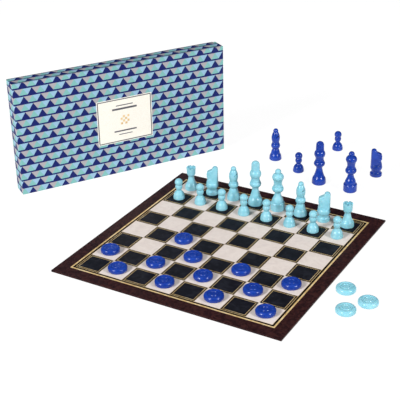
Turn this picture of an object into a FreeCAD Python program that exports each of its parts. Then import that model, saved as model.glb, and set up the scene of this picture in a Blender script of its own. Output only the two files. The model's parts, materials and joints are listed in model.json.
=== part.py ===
import FreeCAD, Part
import math
import os

import Sketcher
from FreeCAD import Vector

# Chess and checkers set: a folding board laid open with the men in play on it, more men standing beside
# it, and the closed two-part card box behind it on its long edge, with the remaining men in its tray.
# Millimetres and degrees. +Z is up, X runs along the box, Y away from the viewer, and the origin lies
# under the middle of the board. The board is turned in this frame by board_turn.

SIZES = {
    # Folding board
    "board_side": 360.0,
    "board_turn": -57.0,
    "square_pitch": 38.75,
    "core_thick": 2.0,
    "print_thick": 0.3,
    "backing_thick": 0.3,
    "seam_gap": 0.4,
    "hinge_leaf": 12.0,
    # Pawn, from the foot up: radius of each section and its rise over the section below
    "pawn_foot_radius": 8.5,
    "pawn_plinth_low_radius": 9.2,
    "pawn_plinth_low_rise": 0.9,
    "pawn_plinth_top_radius": 9.1,
    "pawn_plinth_top_rise": 3.5,
    "pawn_skirt_radius": 8.7,
    "pawn_skirt_rise": 0.6,
    "pawn_bell_radius": 7.9,
    "pawn_bell_rise": 3.8,
    "pawn_waist_radius": 4.9,
    "pawn_waist_rise": 4.1,
    "pawn_throat_radius": 4.0,
    "pawn_throat_rise": 1.3,
    "pawn_neck_radius": 3.7,
    "pawn_neck_rise": 1.2,
    "pawn_collar_radius": 5.6,
    "pawn_collar_rise": 4.0,
    "pawn_collar_top_radius": 4.6,
    "pawn_collar_top_rise": 4.6,
    "pawn_head_rise": 10.5,
    # Rook
    "rook_foot_radius": 9.8,
    "rook_plinth_low_radius": 10.6,
    "rook_plinth_low_rise": 1.0,
    "rook_plinth_top_radius": 10.4,
    "rook_plinth_top_rise": 3.8,
    "rook_skirt_radius": 9.6,
    "rook_skirt_rise": 3.0,
    "rook_skirt_top_radius": 7.7,
    "rook_skirt_top_rise": 2.6,
    "rook_flare_radius": 5.6,
    "rook_flare_rise": 5.8,
    "rook_neck_radius": 4.2,
    "rook_neck_rise": 6.4,
    "rook_cup_foot_radius": 5.1,
    "rook_cup_foot_rise": 1.0,
    "rook_cup_radius": 6.9,
    "rook_cup_rise": 3.4,
    "rook_cup_rim_radius": 7.5,
    "rook_cup_rim_rise": 11.4,
    "rook_rim_wall": 1.8,
    "rook_well_deep": 5.0,
    "rook_notch_wide": 3.0,
    "rook_notch_deep": 1.9,
    # Bishop
    "bishop_foot_radius": 9.8,
    "bishop_plinth_low_radius": 10.6,
    "bishop_plinth_low_rise": 1.1,
    "bishop_plinth_top_radius": 10.3,
    "bishop_plinth_top_rise": 3.3,
    "bishop_skirt_radius": 9.4,
    "bishop_skirt_rise": 4.0,
    "bishop_skirt_top_radius": 7.9,
    "bishop_skirt_top_rise": 2.8,
    "bishop_bell_radius": 7.1,
    "bishop_bell_rise": 3.9,
    "bishop_neck_radius": 5.3,
    "bishop_neck_rise": 4.5,
    "bishop_collar_foot_radius": 5.6,
    "bishop_collar_foot_rise": 1.2,
    "bishop_collar_radius": 7.8,
    "bishop_collar_rise": 4.6,
    "bishop_collar_top_radius": 5.7,
    "bishop_collar_top_rise": 4.6,
    "bishop_bead_radius": 6.2,
    "bishop_bead_rise": 0.9,
    "bishop_mitre_foot_radius": 5.6,
    "bishop_mitre_foot_rise": 0.9,
    "bishop_mitre_radius": 7.1,
    "bishop_mitre_rise": 9.4,
    "bishop_mitre_top_radius": 4.0,
    "bishop_mitre_top_rise": 9.4,
    "bishop_knob_rise": 6.0,
    "bishop_slit_wide": 1.4,
    "bishop_slit_reach": 2.4,
    "bishop_slit_drop": 4.6,
    # Queen
    "queen_foot_radius": 10.2,
    "queen_plinth_low_radius": 11.0,
    "queen_plinth_low_rise": 1.1,
    "queen_plinth_top_radius": 10.9,
    "queen_plinth_top_rise": 11.0,
    "queen_skirt_radius": 10.5,
    "queen_skirt_rise": 0.7,
    "queen_bell_foot_radius": 9.0,
    "queen_bell_foot_rise": 0.5,
    "queen_bell_radius": 8.6,
    "queen_bell_rise": 4.2,
    "queen_bell_top_radius": 7.1,
    "queen_bell_top_rise": 3.7,
    "queen_flare_radius": 5.5,
    "queen_flare_rise": 3.8,
    "queen_neck_radius": 4.7,
    "queen_neck_rise": 4.0,
    "queen_collar_foot_radius": 5.6,
    "queen_collar_foot_rise": 2.2,
    "queen_collar_radius": 9.1,
    "queen_collar_rise": 4.8,
    "queen_collar_top_radius": 6.8,
    "queen_collar_top_rise": 4.2,
    "queen_bead_radius": 7.2,
    "queen_bead_rise": 0.9,
    "queen_bead_top_radius": 6.5,
    "queen_bead_top_rise": 0.9,
    "queen_waist_radius": 6.3,
    "queen_waist_rise": 3.8,
    "queen_crown_foot_radius": 8.3,
    "queen_crown_foot_rise": 6.8,
    "queen_crown_radius": 9.0,
    "queen_crown_rise": 3.6,
    "queen_crown_top_radius": 4.1,
    "queen_crown_top_rise": 5.6,
    "queen_finial_rise": 7.4,
    # King
    "king_foot_radius": 10.6,
    "king_plinth_low_radius": 11.5,
    "king_plinth_low_rise": 1.2,
    "king_plinth_top_radius": 11.3,
    "king_plinth_top_rise": 5.2,
    "king_skirt_radius": 10.5,
    "king_skirt_rise": 3.6,
    "king_skirt_top_radius": 8.9,
    "king_skirt_top_rise": 2.8,
    "king_flare_radius": 6.6,
    "king_flare_rise": 6.8,
    "king_neck_radius": 4.8,
    "king_neck_rise": 8.0,
    "king_collar_foot_radius": 6.0,
    "king_collar_foot_rise": 3.4,
    "king_collar_radius": 9.1,
    "king_collar_rise": 4.8,
    "king_collar_top_radius": 6.9,
    "king_collar_top_rise": 4.2,
    "king_bead_radius": 7.4,
    "king_bead_rise": 0.9,
    "king_bead_top_radius": 6.8,
    "king_bead_top_rise": 0.9,
    "king_waist_radius": 6.6,
    "king_waist_rise": 2.6,
    "king_bulge_foot_radius": 7.3,
    "king_bulge_foot_rise": 3.2,
    "king_bulge_radius": 9.0,
    "king_bulge_rise": 5.2,
    "king_bulge_top_radius": 6.8,
    "king_bulge_top_rise": 5.4,
    "king_block_top_radius": 6.4,
    "king_block_top_rise": 10.6,
    "king_cap_rise": 5.7,
    "king_block_thick": 9.0,
    # Knight: turned base
    "knight_foot_radius": 9.2,
    "knight_plinth_low_radius": 10.0,
    "knight_plinth_low_rise": 1.0,
    "knight_plinth_top_radius": 9.9,
    "knight_plinth_top_rise": 4.6,
    "knight_waist_radius": 7.7,
    "knight_waist_rise": 3.8,
    "knight_breast_foot_radius": 9.0,
    "knight_breast_foot_rise": 3.0,
    "knight_breast_radius": 9.8,
    "knight_breast_rise": 4.0,
    "knight_breast_top_radius": 8.2,
    "knight_breast_top_rise": 4.2,
    # Knight: head, lengths forward from the back of the mane and rises over the breast's widest ring
    "knight_mane_back": 9.5,
    "knight_head_thick": 13.0,
    "knight_head_inset": 0.2,
    "knight_mane_rise": 26.5,
    "knight_ear_rise": 4.7,
    "knight_nose_run": 17.2,
    "knight_nose_rise": 22.4,
    "knight_muzzle_run": 18.0,
    "knight_muzzle_rise": 19.8,
    "knight_chin_rise": 14.0,
    "knight_lip_run": 16.8,
    "knight_lip_rise": 12.6,
    "knight_throat_run": 14.4,
    "knight_throat_rise": 10.4,
    "knight_chest_run": 18.2,
    "knight_chest_rise": 2.6,
    "knight_chest_foot_run": 16.6,
    "knight_neck_half": 6.4,
    "knight_cheek_half": 5.6,
    "knight_cheek_rise": 13.4,
    "knight_poll_half": 3.4,
    "knight_muzzle_half": 3.6,
    "knight_muzzle_taper_run": 6.0,
    "knight_muzzle_taper_long": 14.0,
    "knight_edge_round": 1.2,
    "knight_ear_split_wide": 2.6,
    "knight_ear_split_deep": 3.0,
    "knight_mouth_long": 4.2,
    "knight_mouth_tall": 0.8,
    "knight_mouth_rise": 16.4,
    "knight_eye_half": 1.5,
    "knight_eye_lid": 1.0,
    "knight_eye_run": 10.6,
    "knight_eye_rise": 21.6,
    "knight_eye_floor": 4.3,
    "knight_cut_deep": 0.9,
    "knight_cut_tall": 0.9,
    "knight_cut_rise": 6.4,
    "knight_cut_span": 17.0,
    # Checker
    "checker_foot_radius": 12.6,
    "checker_edge_radius": 13.8,
    "checker_edge_rise": 1.4,
    "checker_side_radius": 14.0,
    "checker_side_rise": 2.2,
    "checker_shoulder_radius": 13.2,
    "checker_shoulder_rise": 2.9,
    "checker_rim_radius": 11.0,
    "checker_rim_rise": 1.5,
    "checker_rim_wide": 1.5,
    "checker_dish_slope": 0.8,
    "checker_dish_deep": 0.8,
    "checker_ring_radius": 6.0,
    "checker_ring_wide": 1.4,
    "checker_ring_slope": 0.4,
    "checker_ring_tall": 0.5,
    # Men beside the board: along its front edge from the middle, and out from the edge they stand behind
    "blue_bishop_along": -68.8,
    "blue_bishop_behind": 126.7,
    "blue_pawn_1_along": -12.9,
    "blue_pawn_1_behind": 100.3,
    "blue_king_along": 35.6,
    "blue_king_behind": 75.2,
    "blue_pawn_2_along": 9.6,
    "blue_pawn_2_behind": 212.3,
    "blue_queen_along": 91.3,
    "blue_queen_behind": 72.9,
    "blue_knight_along": 107.2,
    "blue_knight_behind": 144.9,
    "aqua_checker_1_along": -31.2,
    "aqua_checker_1_beside": 24.3,
    "aqua_checker_2_along": -48.2,
    "aqua_checker_2_beside": 63.3,
    "aqua_checker_3_along": -79.5,
    "aqua_checker_3_beside": 44.3,
    "aqua_knight_spin": 205.0,
    "blue_knight_spin": 25.0,
    "king_spin": 40.0,
    "bishop_spin": 15.0,
    "rook_spin": 20.0,
    # Card box
    "box_left": -206.0,
    "box_stand_off": 56.0,
    "board_room": 0.8,
    "slab_room": 1.0,
    "base_wall": 1.6,
    "base_floor": 1.6,
    "lid_wall": 1.6,
    "lid_panel": 1.6,
    "lid_slip": 0.3,
    "lid_seat": 0.4,
    "base_shows": 7.0,
    "label_long": 98.0,
    "label_tall": 77.0,
    "label_thick": 0.3,
    # Insert tray
    "tray_slip": 0.3,
    "tray_wall": 1.2,
    "tray_floor": 0.8,
    "well_room": 0.6,
    "row_room": 2.0,
    "store_gap": 0.3,
}

doc = FreeCAD.newDocument("chess_and_checkers_set")
sheet = doc.addObject("Spreadsheet::Sheet", "sizes")
for row, (alias, size) in enumerate(SIZES.items(), start=1):
    sheet.set(f"A{row}", alias)
    sheet.set(f"B{row}", str(size))
    sheet.setAlias(f"B{row}", alias)
doc.recompute()

CORNER = "corner"
VIA = "via"
DOME = "dome"
MANE_CUTS = 6
nodes = []


def number(text):
    """Value of an expression on the sheet."""
    return float(sheet.evalExpression(text))


def origin_feature(body, role):
    return next(feature for feature in body.Origin.OriginFeatures if feature.Role == role)


def round_stretch(start, middle, end, kind):
    """Arc through three points, or, for a dome, from start to the axis with its centre on the axis."""
    if kind != DOME:
        return Part.Arc(start, middle, end)
    rise = end.y - start.y
    radius = (start.x**2 + rise**2) / (2 * rise)
    centre = end.y - radius
    angle = (math.atan2(start.y - centre, start.x) + math.pi / 2) / 2
    crest = Vector(radius * math.cos(angle), centre + radius * math.sin(angle), 0)
    return Part.Arc(start, crest, end)


def draw_loop(sketch, stations):
    """Closed outline: each station has an expression across, one up, and a kind. A via station is the
    middle of a round stretch, and a dome station is the end of one that is centred on the axis."""
    spots = [Vector(number(across), number(up), 0) for across, up, kind in stations]
    ends = [index for index, station in enumerate(stations) if station[2] != VIA]
    first = sketch.GeometryCount
    stretches = []
    passed = []
    for here, there in zip(ends, ends[1:] + ends[:1]):
        middle = (here + 1) % len(stations)
        kind = VIA if stations[middle][2] == VIA else stations[there][2]
        if kind == CORNER:
            sketch.addGeometry(Part.LineSegment(spots[here], spots[there]))
        else:
            sketch.addGeometry(round_stretch(spots[here], spots[middle], spots[there], kind))
        edge = first + len(stretches)
        begins = sketch.getPoint(edge, 1).distanceToPoint(spots[here])
        stops = sketch.getPoint(edge, 2).distanceToPoint(spots[here])
        stretches.append((edge, 1, 2) if begins < stops else (edge, 2, 1))
        if kind == VIA:
            passed.append((edge, middle))
        if kind == DOME:
            sketch.addConstraint(Sketcher.Constraint("PointOnObject", edge, 3, -2))
    for (edge, start, end), (following, begin, finish) in zip(stretches, stretches[1:] + stretches[:1]):
        sketch.addConstraint(Sketcher.Constraint("Coincident", edge, end, following, begin))
    for index, (edge, start, end) in zip(ends, stretches):
        pin(sketch, edge, start, stations[index])
    for edge, index in passed:
        point = sketch.addGeometry(Part.Point(spots[index]), True)
        sketch.addConstraint(Sketcher.Constraint("PointOnObject", point, 1, edge))
        pin(sketch, point, 1, stations[index])


def pin(sketch, edge, end, station):
    """Holds a point of the outline at its two expressions."""
    for kind, axis, text in (("DistanceX", -2, station[0]), ("DistanceY", -1, station[1])):
        if text == "0":
            sketch.addConstraint(Sketcher.Constraint("PointOnObject", edge, end, axis))
            continue
        index = sketch.addConstraint(Sketcher.Constraint(kind, -1, 1, edge, end, number(text)))
        label = f"{kind}_{index}"
        sketch.renameConstraint(index, label)
        sketch.setExpression(f"Constraints.{label}", text)


def outline(body, name, role, loops, shift=("0", "0", "0")):
    """Sketch of closed loops on one of the body's own planes, shifted on it and off it."""
    sketch = body.newObject("Sketcher::SketchObject", name)
    sketch.AttachmentSupport = [(origin_feature(body, role), "")]
    sketch.MapMode = "FlatFace"
    for axis, text in zip("xyz", shift):
        if text != "0":
            sketch.setExpression(f"AttachmentOffset.Base.{axis}", text)
    for stations in loops:
        draw_loop(sketch, stations)
    sketch.Visibility = False
    return sketch


def corners(*points):
    return [(across, up, CORNER) for across, up in points]


def rectangle(left, low, right, high):
    return corners((left, low), (right, low), (right, high), (left, high))


def feature(body, kind, name, profile, **settings):
    """Adds a feature on a profile, with fixed settings and lengths that are expressions."""
    item = body.newObject(f"PartDesign::{kind}", name)
    item.Profile = profile
    for key, setting in settings.items():
        if key in ("Length", "Angle"):
            item.setExpression(key, setting)
        else:
            setattr(item, key, setting)
    return item


def pattern(body, kind, name, original, **settings):
    """Repeats a feature and makes the repeat the body's result."""
    item = body.newObject(f"PartDesign::{kind}", name)
    item.Originals = [original]
    for key, setting in settings.items():
        setattr(item, key, setting)
    body.Tip = item
    return item


def mirrored(body, name, original):
    plane = origin_feature(body, "XZ_Plane")
    return pattern(body, "Mirrored", name, original, MirrorPlane=(plane, [""]))


def set_down(item, across, along, up, axis="0; 0; 1", angle="0"):
    """Places a piece by expressions for its origin and for its turn about an axis."""
    spot = f"vector({across}; {along}; {up})"
    item.setExpression("Placement", f"placement({spot}; rotation(vector({axis}); {angle}))")


def set_on_board(item, along, behind, up, spin="0"):
    """Places a piece by distances along the board's own edges, from its middle."""
    turn = "sizes.board_turn * 1 deg"
    across = f"cos({turn}) * ({along}) - sin({turn}) * ({behind})"
    away = f"sin({turn}) * ({along}) + cos({turn}) * ({behind})"
    set_down(item, across, away, up, angle=f"sizes.board_turn + {spin}")


# Turned men

SECTIONS = {
    "pawn": (
        ("plinth_low", CORNER),
        ("plinth_top", CORNER),
        ("skirt", CORNER),
        ("bell", VIA),
        ("waist", CORNER),
        ("throat", VIA),
        ("neck", CORNER),
        ("collar", VIA),
        ("collar_top", CORNER),
        ("head", DOME),
    ),
    "rook": (
        ("plinth_low", CORNER),
        ("plinth_top", CORNER),
        ("skirt", VIA),
        ("skirt_top", CORNER),
        ("flare", VIA),
        ("neck", CORNER),
        ("cup_foot", CORNER),
        ("cup", CORNER),
        ("cup_rim", CORNER),
    ),
    "bishop": (
        ("plinth_low", CORNER),
        ("plinth_top", CORNER),
        ("skirt", VIA),
        ("skirt_top", CORNER),
        ("bell", VIA),
        ("neck", CORNER),
        ("collar_foot", CORNER),
        ("collar", VIA),
        ("collar_top", CORNER),
        ("bead", VIA),
        ("mitre_foot", CORNER),
        ("mitre", VIA),
        ("mitre_top", CORNER),
        ("knob", DOME),
    ),
    "queen": (
        ("plinth_low", CORNER),
        ("plinth_top", CORNER),
        ("skirt", CORNER),
        ("bell_foot", CORNER),
        ("bell", VIA),
        ("bell_top", CORNER),
        ("flare", VIA),
        ("neck", CORNER),
        ("collar_foot", CORNER),
        ("collar", VIA),
        ("collar_top", CORNER),
        ("bead", VIA),
        ("bead_top", CORNER),
        ("waist", VIA),
        ("crown_foot", CORNER),
        ("crown", VIA),
        ("crown_top", CORNER),
        ("finial", DOME),
    ),
    "king": (
        ("plinth_low", CORNER),
        ("plinth_top", CORNER),
        ("skirt", VIA),
        ("skirt_top", CORNER),
        ("flare", VIA),
        ("neck", CORNER),
        ("collar_foot", CORNER),
        ("collar", VIA),
        ("collar_top", CORNER),
        ("bead", VIA),
        ("bead_top", CORNER),
        ("waist", VIA),
        ("bulge_foot", CORNER),
        ("bulge", VIA),
        ("bulge_top", CORNER),
        ("block_top", CORNER),
        ("cap", DOME),
    ),
    "knight": (
        ("plinth_low", CORNER),
        ("plinth_top", CORNER),
        ("waist", VIA),
        ("breast_foot", CORNER),
        ("breast", VIA),
        ("breast_top", CORNER),
    ),
    "checker": (
        ("edge", CORNER),
        ("side", CORNER),
        ("shoulder", VIA),
        ("rim", CORNER),
    ),
}


def height(man, upto=None):
    """Height of a turned man's section over its foot, or of its top."""
    names = [name for name, kind in SECTIONS[man]]
    if upto:
        names = names[: names.index(upto) + 1]
    return "(" + " + ".join(f"sizes.{man}_{name}_rise" for name in names) + ")"


def turned_stations(man):
    """The man's half outline, from the middle of its foot to its last section."""
    stations = [("0", "0", CORNER), (f"sizes.{man}_foot_radius", "0", CORNER)]
    for name, kind in SECTIONS[man]:
        radius = "0" if kind == DOME else f"sizes.{man}_{name}_radius"
        stations.append((radius, height(man, name), kind))
    return stations


def new_body(label):
    body = doc.addObject("PartDesign::Body", label)
    body.Label = label
    return body


def turn(body, man, hollow=()):
    """Turns a man's sections about its own axis; hollow adds stations that lead back to the axis."""
    label = body.Label
    stations = turned_stations(man) + list(hollow)
    if stations[-1][0] != "0":
        stations.append(("0", stations[-1][1], CORNER))
    profile = outline(body, f"{label}_profile", "XZ_Plane", [stations])
    axis = (profile, ["V_Axis"])
    feature(body, "Revolution", f"{label}_turned", profile, ReferenceAxis=axis, Angle="360")
    return body


def pawn(label):
    return turn(new_body(label), "pawn")


def queen(label):
    return turn(new_body(label), "queen")


def rook(label):
    """Tower with a hollow top whose rim has four notches."""
    top = height("rook")
    inner = "sizes.rook_cup_rim_radius - sizes.rook_rim_wall"
    floor = f"{top} - sizes.rook_well_deep"
    body = turn(new_body(label), "rook", corners((inner, top), (inner, floor)))
    half = "sizes.rook_notch_wide / 2"
    foot = f"{top} - sizes.rook_notch_deep"
    notch = corners(("0", top), ("sizes.rook_notch_wide", top), (half, foot))
    profile = outline(body, f"{label}_notch_profile", "XZ_Plane", [notch], (f"-{half}", "0", "0"))
    cut = feature(body, "Pocket", f"{label}_notch", profile, Type="ThroughAll")
    axis = (origin_feature(body, "Z_Axis"), [""])
    pattern(body, "PolarPattern", f"{label}_notches", cut, Axis=axis, Angle=360, Occurrences=4)
    return body


def bishop(label):
    """Mitre with a slanting slit on one side."""
    body = turn(new_body(label), "bishop")
    inner = height("bishop", "mitre")
    reach = "sizes.bishop_slit_reach"
    outer = "sizes.bishop_mitre_radius + sizes.bishop_slit_wide"
    high = f"{inner} + sizes.bishop_slit_drop"
    tall = "sizes.bishop_slit_wide"
    slit = corners((reach, inner), (outer, high), (outer, f"{high} + {tall}"), (reach, f"{inner} + {tall}"))
    profile = outline(body, f"{label}_slit_profile", "XZ_Plane", [slit])
    feature(body, "Pocket", f"{label}_slit", profile, Type="ThroughAll", SideType="Symmetric")
    return body


def king(label):
    """Crown block cut flat on two sides above the bulge."""
    body = turn(new_body(label), "king")
    flat = "sizes.king_block_thick / 2"
    shoulder = height("king", "bulge_top")
    far = "sizes.king_bulge_radius"
    side = rectangle(flat, shoulder, far, height("king"))
    profile = outline(body, f"{label}_flat_profile", "YZ_Plane", [side])
    cut = feature(body, "Pocket", f"{label}_flat", profile, Type="ThroughAll", SideType="Symmetric")
    mirrored(body, f"{label}_flats", cut)
    return body


def head_edges(shape, floor, brow):
    """Names of the edges that run along the sides of the head, from its chin over its nose to its ears."""
    names = []
    for index, edge in enumerate(shape.Edges, start=1):
        heights = [vertex.Z for vertex in edge.Vertexes]
        if min(heights) < floor or max(heights) < brow:
            continue
        middle = edge.valueAt((edge.FirstParameter + edge.LastParameter) / 2)
        faces = shape.ancestorsOfType(edge, Part.Face)
        leans = [abs(face.normalAt(*face.Surface.parameter(middle)).y) for face in faces]
        if min(leans) < 0.5 < max(leans):
            names.append(f"Edge{index}")
    return names


def knight(label):
    """Horse's head on a turned base: a side outline, tapered to the ears and the muzzle, with rounded
    edges, turned down to the roundness of the breast, and joined to the base last."""
    body = new_body(label)
    foot = height("knight", "breast")
    marks = ("mane", "eye", "nose", "muzzle", "mouth", "chin", "lip", "throat", "cheek", "chest", "cut")
    above = {name: f"({foot} + sizes.knight_{name}_rise)" for name in marks}
    poll = f"({above['mane']} + sizes.knight_ear_rise)"
    back = ("-sizes.knight_mane_back", "0", "0")
    through = {"Type": "ThroughAll", "SideType": "Symmetric"}
    head = [
        ("0", foot, CORNER),
        ("sizes.knight_chest_foot_run", foot, CORNER),
        ("sizes.knight_chest_run", above["chest"], VIA),
        ("sizes.knight_throat_run", above["throat"], CORNER),
        ("sizes.knight_lip_run", above["lip"], CORNER),
        ("sizes.knight_muzzle_run", above["chin"], CORNER),
        ("sizes.knight_muzzle_run", above["muzzle"], CORNER),
        ("sizes.knight_nose_run", above["nose"], CORNER),
        ("2 * sizes.knight_ear_rise", above["mane"], CORNER),
        ("sizes.knight_ear_rise", poll, VIA),
        ("0", above["mane"], CORNER),
    ]
    profile = outline(body, f"{label}_head_profile", "XZ_Plane", [head], back)
    feature(body, "Pad", f"{label}_head", profile, Length="sizes.knight_head_thick", SideType="Symmetric")

    clear = "(sizes.knight_breast_radius + sizes.knight_head_thick)"
    high = f"({poll} + sizes.knight_ear_rise)"
    side = [
        ("sizes.knight_neck_half", foot, CORNER),
        (clear, foot, CORNER),
        (clear, high, CORNER),
        ("sizes.knight_poll_half", high, CORNER),
        ("sizes.knight_cheek_half", above["cheek"], VIA),
    ]
    profile = outline(body, f"{label}_side_profile", "YZ_Plane", [side])
    cut = feature(body, "Pocket", f"{label}_side", profile, **through)
    mirrored(body, f"{label}_sides", cut)

    reach = "(sizes.knight_muzzle_taper_run + sizes.knight_muzzle_taper_long)"
    taper = corners(
        ("sizes.knight_muzzle_taper_run", "sizes.knight_neck_half"),
        (reach, "sizes.knight_muzzle_half"),
        (reach, clear),
        ("sizes.knight_muzzle_taper_run", clear),
    )
    profile = outline(body, f"{label}_muzzle_profile", "XY_Plane", [taper], (back[0], "0", above["throat"]))
    cut = feature(body, "Pocket", f"{label}_muzzle", profile, Type="ThroughAll", Reversed=True)
    tapered = mirrored(body, f"{label}_muzzle_sides", cut)

    doc.recompute()
    brow = (number(above["chin"]) + number(above["muzzle"])) / 2
    rounded = body.newObject("PartDesign::Fillet", f"{label}_rounded")
    rounded.Base = (tapered, head_edges(body.Shape, number(above["throat"]), brow))
    rounded.setExpression("Radius", "sizes.knight_edge_round")

    inset = "sizes.knight_breast_radius - sizes.knight_head_inset"
    profile = outline(body, f"{label}_turning_profile", "XZ_Plane", [rectangle(inset, foot, clear, high)])
    feature(body, "Groove", f"{label}_turning", profile, ReferenceAxis=(profile, ["V_Axis"]), Angle="360")

    half = "sizes.knight_ear_split_wide / 2"
    cleft = f"{poll} - sizes.knight_ear_split_deep"
    split = corners(("0", high), ("sizes.knight_ear_split_wide", high), (half, cleft))
    profile = outline(body, f"{label}_ear_profile", "YZ_Plane", [split], (f"-{half}", "0", "0"))
    feature(body, "Pocket", f"{label}_ears", profile, **through)

    inner = "sizes.knight_muzzle_run - sizes.knight_mouth_long"
    mouth = rectangle(inner, above["mouth"], clear, f"{above['mouth']} + sizes.knight_mouth_tall")
    profile = outline(body, f"{label}_mouth_profile", "XZ_Plane", [mouth], back)
    feature(body, "Pocket", f"{label}_mouth", profile, **through)

    eye = [
        ("sizes.knight_eye_run - sizes.knight_eye_half", above["eye"], CORNER),
        ("sizes.knight_eye_run", f"{above['eye']} + sizes.knight_eye_lid", VIA),
        ("sizes.knight_eye_run + sizes.knight_eye_half", above["eye"], CORNER),
        ("sizes.knight_eye_run", f"{above['eye']} - sizes.knight_eye_lid", VIA),
    ]
    shift = (back[0], "0", "sizes.knight_eye_floor")
    profile = outline(body, f"{label}_eye_profile", "XZ_Plane", [eye], shift)
    cut = feature(body, "Pocket", f"{label}_eye", profile, Type="ThroughAll", Reversed=True)
    mirrored(body, f"{label}_eyes", cut)

    behind = "-(sizes.knight_mane_back + sizes.knight_cut_deep)"
    lock_top = f"{above['cut']} + sizes.knight_cut_tall"
    lock = rectangle("0", above["cut"], "2 * sizes.knight_cut_deep", lock_top)
    profile = outline(body, f"{label}_mane_profile", "XZ_Plane", [lock], (behind, "0", "0"))
    cut = feature(body, "Pocket", f"{label}_mane_cut", profile, **through)
    up = (origin_feature(body, "Z_Axis"), [""])
    locks = pattern(body, "LinearPattern", f"{label}_mane", cut, Direction=up, Occurrences=MANE_CUTS)
    locks.setExpression("Length", "sizes.knight_cut_span")
    return turn(body, "knight")


def checker(label):
    """Flat man with a rounded edge, a dished face and a raised ring."""
    top = height("checker")
    dish = f"{top} - sizes.checker_dish_deep"
    ring = f"{dish} + sizes.checker_ring_tall"
    lip = "sizes.checker_rim_radius - sizes.checker_rim_wide"
    ring_out = "sizes.checker_ring_radius"
    ring_in = "sizes.checker_ring_radius - sizes.checker_ring_wide"
    slope = "sizes.checker_ring_slope"
    face = corners(
        (lip, top),
        (f"{lip} - sizes.checker_dish_slope", dish),
        (ring_out, dish),
        (f"{ring_out} - {slope}", ring),
        (f"{ring_in} + {slope}", ring),
        (ring_in, dish),
    )
    return turn(new_body(label), "checker", face)


def keep(item, label):
    """Names a finished piece as one node of the set."""
    item.Label = label
    nodes.append((label, item))


# Folding board: two halves, each a core between a printed sheet and a backing, joined by cloth leaves

half_side = "sizes.board_side / 2"
half_seam = "sizes.seam_gap / 2"
board_top = "(sizes.backing_thick + sizes.core_thick + sizes.print_thick)"


def sheet_piece(label, inner, outer, low, thick):
    """Flat piece of the board from one distance off the seam to another, on the left or the right."""
    piece = doc.addObject("Part::Box", label)
    piece.setExpression("Length", f"{outer} - ({inner})")
    piece.setExpression("Width", "sizes.board_side")
    piece.setExpression("Height", thick)
    start = inner if label.endswith("right") else f"-({outer})"
    set_on_board(piece, start, f"-{half_side}", low)
    keep(piece, label)


for side in ("left", "right"):
    over_backing = "sizes.backing_thick"
    over_core = "sizes.backing_thick + sizes.core_thick"
    sheet_piece(f"hinge_cloth_{side}", "0", "sizes.hinge_leaf", "0", "sizes.backing_thick")
    sheet_piece(f"board_backing_{side}", "sizes.hinge_leaf", half_side, "0", "sizes.backing_thick")
    sheet_piece(f"board_core_{side}", half_seam, half_side, over_backing, "sizes.core_thick")
    sheet_piece(f"board_print_{side}", half_seam, half_side, over_core, "sizes.print_thick")

# Men on the board, each in the middle of its square

MAKERS = {
    "pawn": pawn,
    "rook": rook,
    "knight": knight,
    "bishop": bishop,
    "queen": queen,
    "king": king,
    "checker": checker,
}
FILES = "abcdefgh"
BACK_ROW = ("rook", "knight", "bishop", "king", "queen", "bishop", "knight", "rook")
BACK_RANK = 8
PAWN_RANK = 7
CHECKER_SQUARES = ("b1", "d1", "f1", "h1", "a2", "c2", "e2", "g2", "d3", "f3", "h3", "c4")
MIDDLE = 4.5
SPINS = {
    "knight": "sizes.aqua_knight_spin",
    "king": "sizes.king_spin",
    "rook": "sizes.rook_spin",
    "bishop": "sizes.bishop_spin",
}


def stand_on_square(man, label, column, rank):
    item = MAKERS[man](label)
    along = f"sizes.square_pitch * {column - MIDDLE}"
    behind = f"sizes.square_pitch * {rank - MIDDLE}"
    set_on_board(item, along, behind, board_top, SPINS.get(man, "0"))
    keep(item, label)


for column, (letter, man) in enumerate(zip(FILES, BACK_ROW), start=1):
    stand_on_square(man, f"aqua_{man}_{letter}", column, BACK_RANK)
    stand_on_square("pawn", f"aqua_pawn_{letter}", column, PAWN_RANK)
for square in CHECKER_SQUARES:
    stand_on_square("checker", f"blue_checker_{square}", FILES.index(square[0]) + 1, int(square[1]))

# Men on the table behind the board and beside it

for man, label in (
    ("bishop", "blue_bishop"),
    ("pawn", "blue_pawn_1"),
    ("king", "blue_king"),
    ("pawn", "blue_pawn_2"),
    ("queen", "blue_queen"),
    ("knight", "blue_knight"),
):
    item = MAKERS[man](label)
    spin = "sizes.blue_knight_spin" if man == "knight" else SPINS.get(man, "0")
    set_on_board(item, f"sizes.{label}_along", f"{half_side} + sizes.{label}_behind", "0", spin)
    keep(item, label)
for label in ("aqua_checker_1", "aqua_checker_2", "aqua_checker_3"):
    item = checker(label)
    set_on_board(item, f"{half_side} + sizes.{label}_beside", f"sizes.{label}_along", "0")
    keep(item, label)

# Card box: the base holds the tray and, over it, the folded board; the lid slips over the base

CHECKER_STACK = 3
stack_tall = f"{CHECKER_STACK} * {height('checker')}"
well_deep = f"(max({stack_tall}; 2 * sizes.king_plinth_low_radius) + sizes.well_room)"
tray_deep = f"({well_deep} + sizes.tray_floor)"
inner_long = "(sizes.board_side + 2 * sizes.board_room)"
inner_tall = f"({half_side} + 2 * sizes.board_room)"
base_long = f"({inner_long} + 2 * sizes.base_wall)"
base_tall = f"({inner_tall} + 2 * sizes.base_wall)"
base_deep = f"(sizes.base_floor + {tray_deep} + 2 * {board_top} + sizes.slab_room)"
lid_long = f"({base_long} + 2 * (sizes.lid_wall + sizes.lid_slip))"
lid_tall = f"({base_tall} + 2 * (sizes.lid_wall + sizes.lid_slip))"
lid_deep = f"(sizes.lid_panel + sizes.lid_seat + {base_deep} - sizes.base_shows)"
board_corner = f"{half_side} * (cos(sizes.board_turn * 1 deg) - sin(sizes.board_turn * 1 deg))"
box_front = f"({board_corner} + sizes.box_stand_off)"
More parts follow.
